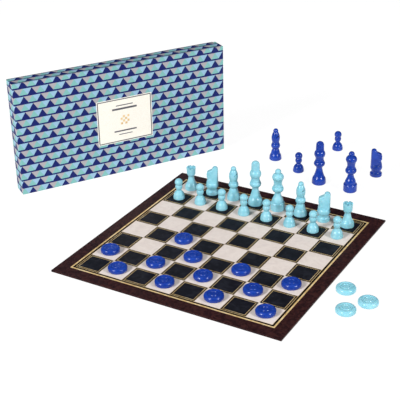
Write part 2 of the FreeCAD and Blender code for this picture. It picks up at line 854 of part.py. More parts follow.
base_left = "(sizes.box_left + sizes.lid_wall + sizes.lid_slip)"
base_low = "(sizes.lid_wall + sizes.lid_slip)"
base_back = f"({box_front} + sizes.lid_panel + sizes.lid_seat + {base_deep})"


def card_block(label, long, tall, deep):
    """Block with its back low left corner at its own origin, reaching towards the viewer."""
    body = new_body(label)
    profile = outline(body, f"{label}_profile", "XZ_Plane", [rectangle("0", "0", long, tall)])
    feature(body, "Pad", f"{label}_block", profile, Length=deep)
    return body


base = card_block("box_base", base_long, base_tall, base_deep)
hollow = rectangle(
    "sizes.base_wall", "sizes.base_wall", f"sizes.base_wall + {inner_long}", f"sizes.base_wall + {inner_tall}"
)
profile = outline(base, "box_base_mouth", "XZ_Plane", [hollow], ("0", "0", base_deep))
feature(base, "Pocket", "box_base_hollow", profile, Length=f"{base_deep} - sizes.base_floor")
set_down(base, base_left, base_back, base_low)
keep(base, "box_base")

lid = card_block("box_lid", lid_long, lid_tall, lid_deep)
hollow = rectangle(
    "sizes.lid_wall", "sizes.lid_wall", f"{lid_long} - sizes.lid_wall", f"{lid_tall} - sizes.lid_wall"
)
profile = outline(lid, "box_lid_mouth", "XZ_Plane", [hollow])
feature(lid, "Pocket", "box_lid_hollow", profile, Length=f"{lid_deep} - sizes.lid_panel", Reversed=True)
set_down(lid, "sizes.box_left", f"{box_front} + {lid_deep}", "0")
keep(lid, "box_lid")

sticker = card_block("lid_label", "sizes.label_long", "sizes.label_tall", "sizes.label_thick")
sticker_left = f"sizes.box_left + ({lid_long} - sizes.label_long) / 2"
set_down(sticker, sticker_left, box_front, f"({lid_tall} - sizes.label_tall) / 2")
keep(sticker, "lid_label")

# Insert tray: a floor sheet with strips of card glued on it edge to edge, which leave two columns of three
# wells, for the tall men, the pawns and the checkers of each colour

tray_long = f"({inner_long} - 2 * sizes.tray_slip)"
tray_tall = f"({inner_tall} - 2 * sizes.tray_slip)"
well_long = f"(({tray_long} - 3 * sizes.tray_wall) / 2)"
well_starts = {"left": "sizes.tray_wall", "right": f"(2 * sizes.tray_wall + {well_long})"}
men_tall = f"({height('king')} + sizes.row_room)"
pawns_tall = f"({height('pawn')} + sizes.row_room)"
men_floor = "sizes.tray_wall"
pawns_floor = f"(2 * sizes.tray_wall + {men_tall})"
checkers_floor = f"(3 * sizes.tray_wall + {men_tall} + {pawns_tall})"
tray_left = f"({base_left} + sizes.base_wall + sizes.tray_slip)"
tray_low = f"({base_low} + sizes.base_wall + sizes.tray_slip)"
tray_back = f"({base_back} - sizes.base_floor)"
tray_mouth = f"({tray_back} - {tray_deep})"


def tray_strip(label, left, low, long, tall, deep=well_deep, front=tray_mouth):
    """Strip of card in the tray, by its low left corner, its size across and up, and its depth."""
    strip = doc.addObject("Part::Box", label)
    strip.setExpression("Length", long)
    strip.setExpression("Width", deep)
    strip.setExpression("Height", tall)
    set_down(strip, f"{tray_left} + {left}", front, f"{tray_low} + {low}")
    return strip


def keep_group(items, label):
    group = doc.addObject("Part::Compound", label)
    group.Links = items
    keep(group, label)


card = "sizes.tray_wall"
between = f"({tray_tall} - 2 * {card})"
floor_front = f"{tray_back} - sizes.tray_floor"
keep(tray_strip("tray_floor", "0", "0", tray_long, tray_tall, "sizes.tray_floor", floor_front), "tray_floor")
ends = [tray_strip("tray_end_left", "0", "0", card, tray_tall)]
ends.append(tray_strip("tray_end_right", f"({tray_long} - {card})", "0", card, tray_tall))
keep_group(ends, "tray_ends")
sides = []
for name, low in (("low", "0"), ("high", f"({tray_tall} - {card})")):
    sides.append(tray_strip(f"tray_side_{name}", card, low, f"{tray_long} - 2 * {card}", card))
keep_group(sides, "tray_sides")
keep(tray_strip("tray_spine", f"({card} + {well_long})", card, card, between), "tray_spine")
dividers = []
for column, start in well_starts.items():
    for name, roof in (("pawns", pawns_floor), ("checkers", checkers_floor)):
        low = f"({roof} - {card})"
        dividers.append(tray_strip(f"tray_divider_{column}_{name}", start, low, well_long, card))
keep_group(dividers, "tray_dividers")

# Men in the tray: chess men stand in their wells, checkers lie in stacks against the tray's floor


def store_row(men, column, floor):
    """Stands men side by side in a well, from its left end."""
    stored = []
    reach = f"{tray_left} + {well_starts[column]}"
    for place, man in enumerate(men, start=1):
        item = MAKERS[man](f"stored_{man}_{place}")
        wide = f"sizes.{man}_plinth_low_radius"
        reach = f"{reach} + sizes.store_gap + {wide}"
        set_down(item, reach, f"{tray_back} - sizes.tray_floor - {well_deep} / 2", f"{tray_low} + {floor}")
        reach = f"{reach} + {wide}"
        stored.append(item)
    return stored


tall_men = store_row(("rook", "rook", "knight", "bishop"), "right", men_floor)
keep_group(tall_men[:2], "stored_blue_rooks")
keep(tall_men[2], "stored_blue_knight")
keep(tall_men[3], "stored_blue_bishop")
keep_group(store_row(["pawn"] * 6, "right", pawns_floor), "stored_blue_pawns")

stacked = []
STACKS = 3
for stack in range(STACKS):
    reach = f"sizes.checker_side_radius * {2 * stack + 1} + sizes.store_gap * {stack + 1}"
    across = f"{tray_left} + {well_starts['left']} + {reach}"
    up = f"{tray_low} + {checkers_floor} + sizes.store_gap + sizes.checker_side_radius"
    for level in range(CHECKER_STACK):
        item = checker(f"stored_checker_{stack + 1}_{level + 1}")
        away = f"{tray_back} - sizes.tray_floor - {level} * {height('checker')}"
        set_down(item, across, away, up, axis="1; 0; 0", angle="90")
        stacked.append(item)
keep_group(stacked, "stored_aqua_checkers")

# Every piece is tested before any is written

doc.recompute()
for item in doc.Objects:
    if "Invalid" in item.State or "Error" in item.State:
        raise RuntimeError(f"{item.Label} failed: {item.State}")
for label, item in nodes:
    if item.Shape.isNull() or not item.Shape.isValid():
        raise RuntimeError(f"{label} has no valid shape")
os.makedirs("parts", exist_ok=True)
for label, item in nodes:
    item.Shape.exportStep(f"parts/{label}.step")
print(len(nodes), "pieces written")
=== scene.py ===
import json
import math

import bmesh
import bpy
from mathutils import Matrix, Vector


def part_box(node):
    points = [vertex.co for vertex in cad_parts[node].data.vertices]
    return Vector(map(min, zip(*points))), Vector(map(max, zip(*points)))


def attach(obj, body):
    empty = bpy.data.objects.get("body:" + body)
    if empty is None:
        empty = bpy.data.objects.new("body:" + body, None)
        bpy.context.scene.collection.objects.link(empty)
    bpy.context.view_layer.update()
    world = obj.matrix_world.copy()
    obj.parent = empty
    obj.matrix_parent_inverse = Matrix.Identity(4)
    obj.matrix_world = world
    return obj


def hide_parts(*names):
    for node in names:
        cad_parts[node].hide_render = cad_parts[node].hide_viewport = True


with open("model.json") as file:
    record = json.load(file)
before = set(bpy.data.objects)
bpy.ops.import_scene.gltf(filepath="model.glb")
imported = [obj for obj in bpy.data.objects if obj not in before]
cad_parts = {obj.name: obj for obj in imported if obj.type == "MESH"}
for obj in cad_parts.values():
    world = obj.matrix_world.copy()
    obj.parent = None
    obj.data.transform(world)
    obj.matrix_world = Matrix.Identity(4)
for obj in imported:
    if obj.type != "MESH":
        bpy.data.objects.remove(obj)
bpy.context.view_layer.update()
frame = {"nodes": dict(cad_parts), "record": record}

# Board cores: two halves of 2 mm pressed greyboard, die-cut. Fibres and flecks of waste paper give it a dull,
# mottled grey. Each half stops short of the outer edges by the printed sheet that is turned down over them.
MM = 0.001
SIDES = (("left", -1), ("right", 1))
BOARD_TURN = math.radians(-57)
BOARD_HALF = 180 * MM
SEAM_HALF = 0.2 * MM
BACKING = 0.3 * MM
CORE_TOP = 2.3 * MM
WRAP = 0.3 * MM
BOARD_TOP = CORE_TOP + WRAP
CORE_REACH = BOARD_HALF - WRAP
CORE_EDGE = 0.15 * MM
SHARP_CUT = math.radians(40)
ROUNDING_RUN = 0.25
to_board = Matrix.Rotation(BOARD_TURN, 4, "Z")


def linear(text):
    """Linear colour from an sRGB hex value."""
    parts = [int(text[at : at + 2], 16) / 255 for at in (1, 3, 5)]
    return [part / 12.92 if part <= 0.04045 else ((part + 0.055) / 1.055) ** 2.4 for part in parts] + [1.0]


def add(tree, kind, sockets=(), **settings):
    """Adds a node: settings are its own, and sockets gives each input a value or another node's output."""
    made = tree.nodes.new(kind)
    for name, value in settings.items():
        setattr(made, name, value)
    for name, value in dict(sockets).items():
        if isinstance(value, bpy.types.NodeSocket):
            tree.links.new(value, made.inputs[name])
        else:
            made.inputs[name].default_value = value
    return made


def new_material(name, **constants):
    """Material with its shader's fixed values set, its node tree and its shader."""
    material = bpy.data.materials.new(name)
    material.use_nodes = True
    shader = material.node_tree.nodes["Principled BSDF"]
    for socket, value in constants.items():
        shader.inputs[socket.replace("_", " ")].default_value = value
    return material, material.node_tree, shader


def blend_stops(tree, factor, *stops):
    """Colour along a run of hex stops, each with its place on the factor."""
    ramp = add(tree, "ShaderNodeValToRGB", {"Fac": factor})
    band = ramp.color_ramp.elements
    while len(band) < len(stops):
        band.new(0.5)
    for element, (place, text) in zip(band, stops):
        element.position = place
        element.color = linear(text)
    return ramp.outputs["Color"]


def surface(tree, shader, height, relief, polish):
    """Bump and roughness from one pattern: relief is a strength and a depth, polish a roughness range."""
    strength, depth = relief
    bump = add(tree, "ShaderNodeBump", {"Height": height, "Strength": strength, "Distance": depth})
    tree.links.new(bump.outputs["Normal"], shader.inputs["Normal"])
    low, high = polish
    rough = add(tree, "ShaderNodeMapRange", {"Value": height, "To Min": low, "To Max": high})
    tree.links.new(rough.outputs["Result"], shader.inputs["Roughness"])


def speckled(name, grain, detail, tones, relief, polish, **constants):
    """Material whose tone, bump and roughness all follow one grain of a given size, as on paper and card."""
    material, tree, shader = new_material(name, **constants)
    spot = add(tree, "ShaderNodeTexCoord").outputs["Object"]
    noise = {"Vector": spot, "Scale": 1 / grain, "Detail": detail}
    speckle = add(tree, "ShaderNodeTexNoise", noise).outputs["Fac"]
    tree.links.new(blend_stops(tree, speckle, *tones), shader.inputs["Base Color"])
    surface(tree, shader, speckle, relief, polish)
    return material


def piece(name, bm, materials, place=None):
    """Object at the origin from a built mesh, whose place is applied to its points."""
    if place is not None:
        bm.transform(place)
    bmesh.ops.recalc_face_normals(bm, faces=bm.faces)
    mesh = bpy.data.meshes.new(name)
    bm.to_mesh(mesh)
    bm.free()
    for material in materials:
        mesh.materials.append(material)
    made = bpy.data.objects.new(name, mesh)
    bpy.context.scene.collection.objects.link(made)
    return made


def finished(made):
    """Replaces a piece's mesh by its evaluated one and drops its modifiers."""
    bpy.context.view_layer.update()
    ready = made.evaluated_get(bpy.context.evaluated_depsgraph_get())
    mesh = bpy.data.meshes.new_from_object(ready)
    made.modifiers.clear()
    made.data = mesh
    mesh.name = made.name
    return made


def fix(made, body, slot, *nodes):
    """Puts a piece on its body and hides the solids that it stands for; slot is not used."""
    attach(made, body)
    if nodes:
        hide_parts(*nodes)


def block(bm, low, high):
    """Adds a box between two corners to a mesh."""
    corners = bmesh.ops.create_cube(bm, size=1.0)["verts"]
    size = Vector(high) - Vector(low)
    bmesh.ops.scale(bm, vec=size, verts=corners)
    bmesh.ops.translate(bm, vec=Vector(low) + size / 2, verts=corners)


def rounded(made, width, segments=2):
    """Rounds a piece's sharp edges, as cut or pressed card has them, and shades the narrow faces softly."""
    bevel = made.modifiers.new("edges", "BEVEL")
    bevel.width = width
    bevel.segments = segments
    bevel.limit_method = "ANGLE"
    bevel.angle_limit = SHARP_CUT
    finished(made)
    for face in made.data.polygons:
        face.use_smooth = len(face.vertices) != 4 or face.area < ROUNDING_RUN * width
    return made


def board_layer(name, sign, across, reach, heights, material, edge):
    """A flat layer of one half of the board, between two distances from the seam and two heights."""
    left, right = sorted(sign * distance for distance in across)
    low, high = heights
    bm = bmesh.new()
    block(bm, (left, -reach, low), (right, reach, high))
    return rounded(piece(name, bm, [material], to_board), edge)


greyboard = speckled(
    "pressed_greyboard",
    grain=1.5 * MM,
    detail=6.0,
    tones=((0.3, "#4b4641"), (0.55, "#6d665e"), (0.72, "#857d74")),
    relief=(0.4, 0.06 * MM),
    polish=(0.8, 0.98),
    IOR=1.45,
)
for side, sign in SIDES:
    across, heights = (SEAM_HALF, CORE_REACH), (BACKING, CORE_TOP)
    core = board_layer(f"greyboard_core_{side}", sign, across, CORE_REACH, heights, greyboard, CORE_EDGE)
    fix(core, f"board_{side}", "greyboard", f"board_core_{side}")

# Backing sheets: black uncoated paper pasted on the underside of each half, up to the cloth along the seam.
# Its pressed fibres leave a soft, matt grain.
LEAF = 12 * MM
PAPER_EDGE = 0.08 * MM

backing_paper = speckled(
    "black_uncoated_paper",
    grain=0.8 * MM,
    detail=5.0,
    tones=((0.3, "#141416"), (0.7, "#232326")),
    relief=(0.25, 0.03 * MM),
    polish=(0.75, 0.95),
    IOR=1.45,
)
for side, sign in SIDES:
    name, across, heights = f"backing_sheet_{side}", (LEAF, BOARD_HALF), (0, BACKING)
    backing = board_layer(name, sign, across, BOARD_HALF, heights, backing_paper, PAPER_EDGE)
    fix(backing, f"board_{side}", "backing_sheet", f"board_backing_{side}")

# Hinge cloth: a strip of black book cloth glued under the seam, one leaf on each half. Its plain weave
# shows as fine threads; they are drawn at 0.8 mm, twice their real spacing, so that they show at all.
THREAD = 0.8 * MM
WAVE_AT_SCALE_ONE = math.pi / 10

book_cloth, tree, shader = new_material("black_book_cloth", IOR=1.45, Sheen_Weight=0.2)
spot = add(tree, "ShaderNodeTexCoord").outputs["Object"]
straight = add(tree, "ShaderNodeMapping", {"Vector": spot, "Rotation": (0, 0, -BOARD_TURN)}).outputs["Vector"]
wave = {"Vector": straight, "Scale": WAVE_AT_SCALE_ONE / THREAD}
warp = add(tree, "ShaderNodeTexWave", wave, bands_direction="X").outputs["Fac"]
weft = add(tree, "ShaderNodeTexWave", wave, bands_direction="Y").outputs["Fac"]
weave = add(tree, "ShaderNodeMath", {0: warp, 1: weft}, operation="MULTIPLY").outputs["Value"]
tone = blend_stops(tree, weave, (0.0, "#0b0b0d"), (0.8, "#26262a"))
tree.links.new(tone, shader.inputs["Base Color"])
surface(tree, shader, weave, relief=(0.5, 0.1 * MM), polish=(0.8, 0.95))

for side, sign in SIDES:
    across, heights = (0, LEAF), (0, BACKING)
    leaf = board_layer(f"hinge_leaf_{side}", sign, across, BOARD_HALF, heights, book_cloth, PAPER_EDGE)
    fix(leaf, f"board_{side}", "hinge_cloth", f"hinge_cloth_{side}")

# Printed sheets: satin offset print on paper, pasted over each core and turned down over its three outer
# edges. Ivory and blue-black marble squares fill the field, inside a dark band and a mahogany burl border.
SQUARE = 38.75 * MM
HALF_COUNT = 4
FIELD_HALF = HALF_COUNT * SQUARE
DARK_BAND = 3 * MM
SQUARE_LINE = 0.45 * MM
MARBLE_CLOUD = 16 * MM
BURL_FIGURE = 9 * MM
SHEET_TOOTH = 0.6 * MM
FOLD_EDGE = 0.12 * MM
# Sockets of a colour mix: its share, the colour that it starts from, the one that it goes to, and its result
SHARE, BELOW, ABOVE, MIXED = 0, 6, 7, 2

offset_print, tree, shader = new_material("offset_print_satin", IOR=1.5, Specular_IOR_Level=0.06)
spot = add(tree, "ShaderNodeTexCoord").outputs["Object"]
straight = add(tree, "ShaderNodeMapping", {"Vector": spot, "Rotation": (0, 0, -BOARD_TURN)}).outputs["Vector"]
place = add(tree, "ShaderNodeSeparateXYZ", {"Vector": straight}).outputs
counts = []
margins = []
reaches = []
for axis in ("X", "Y"):
    count = {0: place[axis], 1: 1 / SQUARE, 2: HALF_COUNT}
    along = add(tree, "ShaderNodeMath", count, operation="MULTIPLY_ADD").outputs["Value"]
    counts.append(add(tree, "ShaderNodeMath", {0: along}, operation="FLOOR").outputs["Value"])
    margins.append(add(tree, "ShaderNodeMath", {0: along, 1: 0.5}, operation="PINGPONG").outputs["Value"])
    reaches.append(add(tree, "ShaderNodeMath", {0: place[axis]}, operation="ABSOLUTE").outputs["Value"])
both = add(tree, "ShaderNodeMath", {0: counts[0], 1: counts[1]}, operation="ADD").outputs["Value"]
light = add(tree, "ShaderNodeMath", {0: both, 1: 2.0}, operation="FLOORED_MODULO").outputs["Value"]
margin = add(tree, "ShaderNodeMath", {0: margins[0], 1: margins[1]}, operation="MINIMUM").outputs["Value"]
reach = add(tree, "ShaderNodeMath", {0: reaches[0], 1: reaches[1]}, operation="MAXIMUM").outputs["Value"]
border = add(tree, "ShaderNodeMath", {0: reach, 1: FIELD_HALF}, operation="GREATER_THAN").outputs["Value"]
past_band = {0: reach, 1: FIELD_HALF + DARK_BAND}
outer = add(tree, "ShaderNodeMath", past_band, operation="GREATER_THAN").outputs["Value"]
near_edge = {0: margin, 1: SQUARE_LINE / SQUARE}
square_line = add(tree, "ShaderNodeMath", near_edge, operation="LESS_THAN").outputs["Value"]

clouds = {"Vector": straight, "Scale": 1 / MARBLE_CLOUD, "Detail": 8.0, "Roughness": 0.62, "Distortion": 1.4}
marble = add(tree, "ShaderNodeTexNoise", clouds).outputs["Fac"]
ivory = blend_stops(tree, marble, (0.28, "#d7cbc5"), (0.45, "#ded2cb"), (0.62, "#e4d9d2"), (0.75, "#dbcfc8"))
ink = blend_stops(tree, marble, (0.3, "#101117"), (0.5, "#18181f"), (0.64, "#23242c"), (0.7, "#15151b"))
figure = {"Vector": straight, "Scale": 1 / BURL_FIGURE, "Detail": 7.0, "Roughness": 0.6, "Distortion": 2.2}
burl = add(tree, "ShaderNodeTexNoise", figure).outputs["Fac"]
mahogany = blend_stops(tree, burl, (0.3, "#170b0d"), (0.48, "#2c1719"), (0.6, "#402422"), (0.72, "#211011"))
border_layers = {SHARE: outer, BELOW: linear("#0c0706"), ABOVE: mahogany}
border_tone = add(tree, "ShaderNodeMix", border_layers, data_type="RGBA").outputs[MIXED]
dark_layers = {SHARE: square_line, BELOW: ink, ABOVE: linear("#1a150c")}
dark_tone = add(tree, "ShaderNodeMix", dark_layers, data_type="RGBA").outputs[MIXED]
field_layers = {SHARE: light, BELOW: dark_tone, ABOVE: ivory}
field_tone = add(tree, "ShaderNodeMix", field_layers, data_type="RGBA").outputs[MIXED]
sheet_layers = {SHARE: border, BELOW: field_tone, ABOVE: border_tone}
sheet_tone = add(tree, "ShaderNodeMix", sheet_layers, data_type="RGBA").outputs[MIXED]
tree.links.new(sheet_tone, shader.inputs["Base Color"])
grain = {"Vector": spot, "Scale": 1 / SHEET_TOOTH, "Detail": 3.0}
tooth = add(tree, "ShaderNodeTexNoise", grain).outputs["Fac"]
surface(tree, shader, tooth, relief=(0.08, 0.02 * MM), polish=(0.34, 0.46))

for side, sign in SIDES:
    bm = bmesh.new()
    plan = [(sign * SEAM_HALF, -BOARD_HALF), (sign * BOARD_HALF, -BOARD_HALF)]
    plan += [(sign * BOARD_HALF, BOARD_HALF), (sign * SEAM_HALF, BOARD_HALF)]
    top = [bm.verts.new((x, y, BOARD_TOP)) for x, y in plan]
    hem = [bm.verts.new((x, y, BACKING)) for x, y in plan]
    bm.faces.new(top)
    for start, end in ((0, 1), (1, 2), (2, 3)):
        bm.faces.new((top[start], top[end], hem[end], hem[start]))
    sheet = piece(f"printed_sheet_{side}", bm, [offset_print], to_board)
    paper = sheet.modifiers.new("paper", "SOLIDIFY")
    paper.thickness = WRAP
    paper.offset = -1
    paper.use_even_offset = True
    rounded(finished(sheet), FOLD_EDGE)
    fix(sheet, f"board_{side}", "printed_sheet", f"board_print_{side}")

# Gold foil: hot-stamped lines on the print, a double frame on every dark square and a thin and a broad line
# round the field. Foil is a micrometre thick; here it stands 0.04 mm proud, so that it shows as a layer.
FOIL = 0.04 * MM
# Each frame line by its inset from the square's edge and its width, each border line by its two edges
FRAME_LINES = ((0.2 * MM, 0.3 * MM), (2.6 * MM, 0.7 * MM))
BORDER_LINES = ((154.95 * MM, 155.3 * MM), (158.4 * MM, 160.9 * MM))
GRID_INPUTS = (
    ("Motif", "Geometry"),
    ("Columns", "Int"),
    ("Rows", "Int"),
    ("Pitch", "Float"),
    ("Centre", "Vector"),
    ("Turn", "Vector"),
    ("Finish", "Material"),
)

gold_foil = speckled(
    "stamped_gold_foil",
    grain=5 * MM,
    detail=6.0,
    tones=((0.3, "#cda768"), (0.5, "#e8c88c"), (0.7, "#f6e0b2")),
    relief=(0.1, 0.02 * MM),
    polish=(0.35, 0.55),
    Metallic=0.2,
)


def ring(bm, half_x, half_y, line, thick):
    """Adds a flat rectangular ring, as one closed band, round the mesh's own origin."""
    loops = []
    for inset, level in ((0, 0), (0, thick), (line, thick), (line, 0)):
        x, y = half_x - inset, half_y - inset
        plan = ((-x, -y), (x, -y), (x, y), (-x, y))
        loops.append([bm.verts.new((across, along, level)) for across, along in plan])
    for near, far in zip(loops, loops[1:] + loops[:1]):
        for at in range(4):
            after = (at + 1) % 4
            bm.faces.new((near[at], near[after], far[after], far[at]))


every_other = bpy.data.node_groups.new("every_other_cell", "GeometryNodeTree")
for name, kind in GRID_INPUTS:
    every_other.interface.new_socket(name, in_out="INPUT", socket_type=f"NodeSocket{kind}")
every_other.interface.new_socket("Mesh", in_out="OUTPUT", socket_type="NodeSocketGeometry")
given = add(every_other, "NodeGroupInput").outputs
spans = []
for count in ("Columns", "Rows"):
    less_one = {0: given[count], 1: 1.0}
    gaps = add(every_other, "ShaderNodeMath", less_one, operation="SUBTRACT").outputs["Value"]
    span = {0: gaps, 1: given["Pitch"]}
    spans.append(add(every_other, "ShaderNodeMath", span, operation="MULTIPLY").outputs["Value"])
cells = {"Size X": spans[0], "Size Y": spans[1], "Vertices X": given["Columns"], "Vertices Y": given["Rows"]}
grid = add(every_other, "GeometryNodeMeshGrid", cells).outputs["Mesh"]
index = add(every_other, "GeometryNodeInputIndex").outputs["Index"]
share = add(every_other, "ShaderNodeMath", {0: index, 1: given["Rows"]}, operation="DIVIDE").outputs["Value"]
column = add(every_other, "ShaderNodeMath", {0: share}, operation="FLOOR").outputs["Value"]
row = add(every_other, "ShaderNodeMath", {0: index, 1: given["Rows"]}, operation="MODULO").outputs["Value"]
steps = add(every_other, "ShaderNodeMath", {0: column, 1: row}, operation="ADD").outputs["Value"]
odd = add(every_other, "ShaderNodeMath", {0: steps, 1: 2.0}, operation="MODULO").outputs["Value"]
even = add(every_other, "ShaderNodeMath", {0: odd, 1: 0.5}, operation="LESS_THAN").outputs["Value"]
laid = {"Points": grid, "Instance": given["Motif"], "Selection": even}
motifs = add(every_other, "GeometryNodeInstanceOnPoints", laid).outputs["Instances"]
seat = {"Geometry": motifs, "Translation": given["Centre"], "Rotation": given["Turn"]}
seated = add(every_other, "GeometryNodeTransform", seat).outputs["Geometry"]
solid = add(every_other, "GeometryNodeRealizeInstances", {"Geometry": seated}).outputs["Geometry"]
coated = add(every_other, "GeometryNodeSetMaterial", {"Geometry": solid, "Material": given["Finish"]})
add(every_other, "NodeGroupOutput", {"Mesh": coated.outputs["Geometry"]})


def on_every_other(made, **values):
    """Repeats a piece's mesh on every other cell of a grid and keeps the result as a plain mesh."""
    repeat = made.modifiers.new("cells", "NODES")
    repeat.node_group = every_other
    for item in every_other.interface.items_tree:
        if item.in_out == "INPUT" and item.name in values:
            repeat[item.identifier] = values[item.name]
    finished(made)


for side, sign in SIDES:
    bm = bmesh.new()
    for inset, line in FRAME_LINES:
        ring(bm, SQUARE / 2 - inset, SQUARE / 2 - inset, line, FOIL)
    frames = piece(f"foil_frames_{side}", bm, [])
    middle = to_board @ Vector((sign * FIELD_HALF / 2, 0, BOARD_TOP))
    turn = (0.0, 0.0, BOARD_TURN)
    count = {"Columns": HALF_COUNT, "Rows": 2 * HALF_COUNT}
    on_every_other(frames, **count, Pitch=SQUARE, Centre=middle, Turn=turn, Finish=gold_foil)
    fix(frames, f"board_{side}", "printed_sheet")

for side, sign in SIDES:
    bm = bmesh.new()
    lower, upper = BOARD_TOP, BOARD_TOP + FOIL
    for inner, outer in BORDER_LINES:
        for near, far in ((-outer, -inner), (inner, outer)):
            left, right = sorted((sign * SEAM_HALF, sign * inner))
            block(bm, (left, near, lower), (right, far, upper))
        left, right = sorted((sign * inner, sign * outer))
        block(bm, (left, -outer, lower), (right, outer, upper))
    border_lines = piece(f"foil_border_lines_{side}", bm, [gold_foil], to_board)
    fix(border_lines, f"board_{side}", "printed_sheet")

# Aqua chess men: glossy injection-moulded polystyrene, coloured right through, each in one piece. The
# polished mould gives a smooth skin with a faint orange peel, and the resin a soft inner glow.
CREASE = math.radians(28)
JOIN = 0.002 * MM
SWIRL = 14 * MM
PEEL = 1.2 * MM
SKIN = 0.35 * MM
SOFTENING = 6
body_of = {node: body for body, nodes in frame["record"]["behaviour"]["bodies"].items() for node in nodes}


def polystyrene(name, deep, mid, pale):
    """Moulded resin in three tones of one colour, which swirl faintly where it flowed into the mould."""
    material, tree, shader = new_material(
        name, IOR=1.52, Specular_IOR_Level=0.35, Subsurface_Weight=0.06, Subsurface_Scale=2 * MM
    )
    spot = add(tree, "ShaderNodeTexCoord").outputs["Object"]
    flow = {"Vector": spot, "Scale": 1 / SWIRL, "Detail": 3.0, "Distortion": 0.8}
    swirl = add(tree, "ShaderNodeTexNoise", flow).outputs["Fac"]
    tone = blend_stops(tree, swirl, (0.3, deep), (0.5, mid), (0.7, pale))
    tree.links.new(tone, shader.inputs["Base Color"])
    peel = add(tree, "ShaderNodeTexNoise", {"Vector": spot, "Scale": 1 / PEEL, "Detail": 2.0}).outputs["Fac"]
    surface(tree, shader, peel, relief=(0.05, 0.02 * MM), polish=(0.2, 0.28))
    return material


def moulded(node, material, slot):
    """A man as it leaves the mould: the solid's own surface, joined up, with soft shading off its edges."""
    bm = bmesh.new()
    bm.from_mesh(frame["nodes"][node].data)
    bmesh.ops.remove_doubles(bm, verts=bm.verts, dist=JOIN)
    for face in bm.faces:
        face.smooth = True
    for edge in bm.edges:
        edge.smooth = edge.calc_face_angle(0) < CREASE
    man = piece(f"{node}_moulded", bm, [material])
    if "knight" in node:
        skin = man.modifiers.new("skin", "REMESH")
        skin.mode = "VOXEL"
        skin.voxel_size = SKIN
        skin.use_smooth_shade = True
        soften = man.modifiers.new("soften", "SMOOTH")
        soften.factor = 0.5
        soften.iterations = SOFTENING
        finished(man)
        man.data.materials.clear()
        man.data.materials.append(material)
    fix(man, body_of[node], slot, node)


aqua_resin = polystyrene("aqua_polystyrene", "#80c1d2", "#8ac8d7", "#96d0df")
for node in sorted(frame["nodes"]):
    if node.startswith("aqua") and "checker" not in node:
        moulded(node, aqua_resin, "aqua_plastic")

# Royal blue chess men: the same moulded polystyrene, coloured royal blue right through, each in one piece.
# They stand loose behind the board.
blue_resin = polystyrene("royal_blue_polystyrene", "#0d318e", "#123898", "#1941a4")
for node in sorted(frame["nodes"]):
    if node.startswith("blue") and "checker" not in node:
        moulded(node, blue_resin, "blue_plastic")

# Checkers: discs moulded in both resins, with a rounded edge, a dished face and a raised ring. They lie
# loose, the blue ones on the board and the aqua ones beside it.
for node in sorted(frame["nodes"]):
    if node.startswith("blue_checker"):
        moulded(node, blue_resin, "blue_plastic")
    if node.startswith("aqua_checker"):
        moulded(node, aqua_resin, "aqua_plastic")

# Box lid: greyboard corner-stayed into a tray and wrapped in printed paper that is turned in over its rim,
# with a white lining inside. The print is rows of triangles in navy, mint, pale blue and grey, with navy
# bands between them.
TRIANGLE = 14 * MM
ROW = 13 * MM
BAND_SHARE = 0.2
NAVY = "#101d64"
CARD = 1.6 * MM
WRAP_TOOTH = 0.7 * MM
CARD_EDGE = 0.5 * MM

quilt_paper, tree, shader = new_material("printed_wrap_paper", IOR=1.48, Specular_IOR_Level=0.2)
flat = add(tree, "ShaderNodeTexCoord").outputs["UV"]
place = add(tree, "ShaderNodeSeparateXYZ", {"Vector": flat}).outputs
rows = add(tree, "ShaderNodeMath", {0: place["Y"], 1: 1 / ROW}, operation="MULTIPLY").outputs["Value"]
row = add(tree, "ShaderNodeMath", {0: rows}, operation="FLOOR").outputs["Value"]
within = add(tree, "ShaderNodeMath", {0: rows}, operation="FRACT").outputs["Value"]
band = add(tree, "ShaderNodeMath", {0: within, 1: 1 - BAND_SHARE}, operation="GREATER_THAN").outputs["Value"]
climb = add(tree, "ShaderNodeMath", {0: within, 1: 1 - BAND_SHARE}, operation="DIVIDE").outputs["Value"]
runs = add(tree, "ShaderNodeMath", {0: place["X"], 1: 1 / TRIANGLE}, operation="MULTIPLY").outputs["Value"]
other = add(tree, "ShaderNodeMath", {0: row, 1: 2.0}, operation="FLOORED_MODULO").outputs["Value"]
shifted = add(tree, "ShaderNodeMath", {0: other, 1: runs}, operation="ADD").outputs["Value"]
lean = add(tree, "ShaderNodeMath", {0: shifted, 1: 0.5}, operation="PINGPONG").outputs["Value"]
peak = add(tree, "ShaderNodeMath", {0: lean, 1: 2.0}, operation="MULTIPLY").outputs["Value"]
upright = add(tree, "ShaderNodeMath", {0: peak, 1: climb}, operation="GREATER_THAN").outputs["Value"]
pairs = []
for offset, first, second in ((0.0, NAVY, "#7fbbb7"), (0.5, "#96bbd6", "#aca8ad")):
    start = add(tree, "ShaderNodeMath", {0: shifted, 1: offset}, operation="ADD").outputs["Value"]
    step = add(tree, "ShaderNodeMath", {0: start}, operation="FLOOR").outputs["Value"]
    swap = add(tree, "ShaderNodeMath", {0: step, 1: 2.0}, operation="FLOORED_MODULO").outputs["Value"]
    pair = {SHARE: swap, BELOW: linear(first), ABOVE: linear(second)}
    pairs.append(add(tree, "ShaderNodeMix", pair, data_type="RGBA").outputs[MIXED])
triangles = {SHARE: upright, BELOW: pairs[1], ABOVE: pairs[0]}
quilt = add(tree, "ShaderNodeMix", triangles, data_type="RGBA").outputs[MIXED]
banded = {SHARE: band, BELOW: quilt, ABOVE: linear(NAVY)}
quilted = add(tree, "ShaderNodeMix", banded, data_type="RGBA").outputs[MIXED]
spot = add(tree, "ShaderNodeTexCoord").outputs["Object"]
grain = {"Vector": spot, "Scale": 1 / WRAP_TOOTH, "Detail": 4.0}
tooth = add(tree, "ShaderNodeTexNoise", grain).outputs["Fac"]
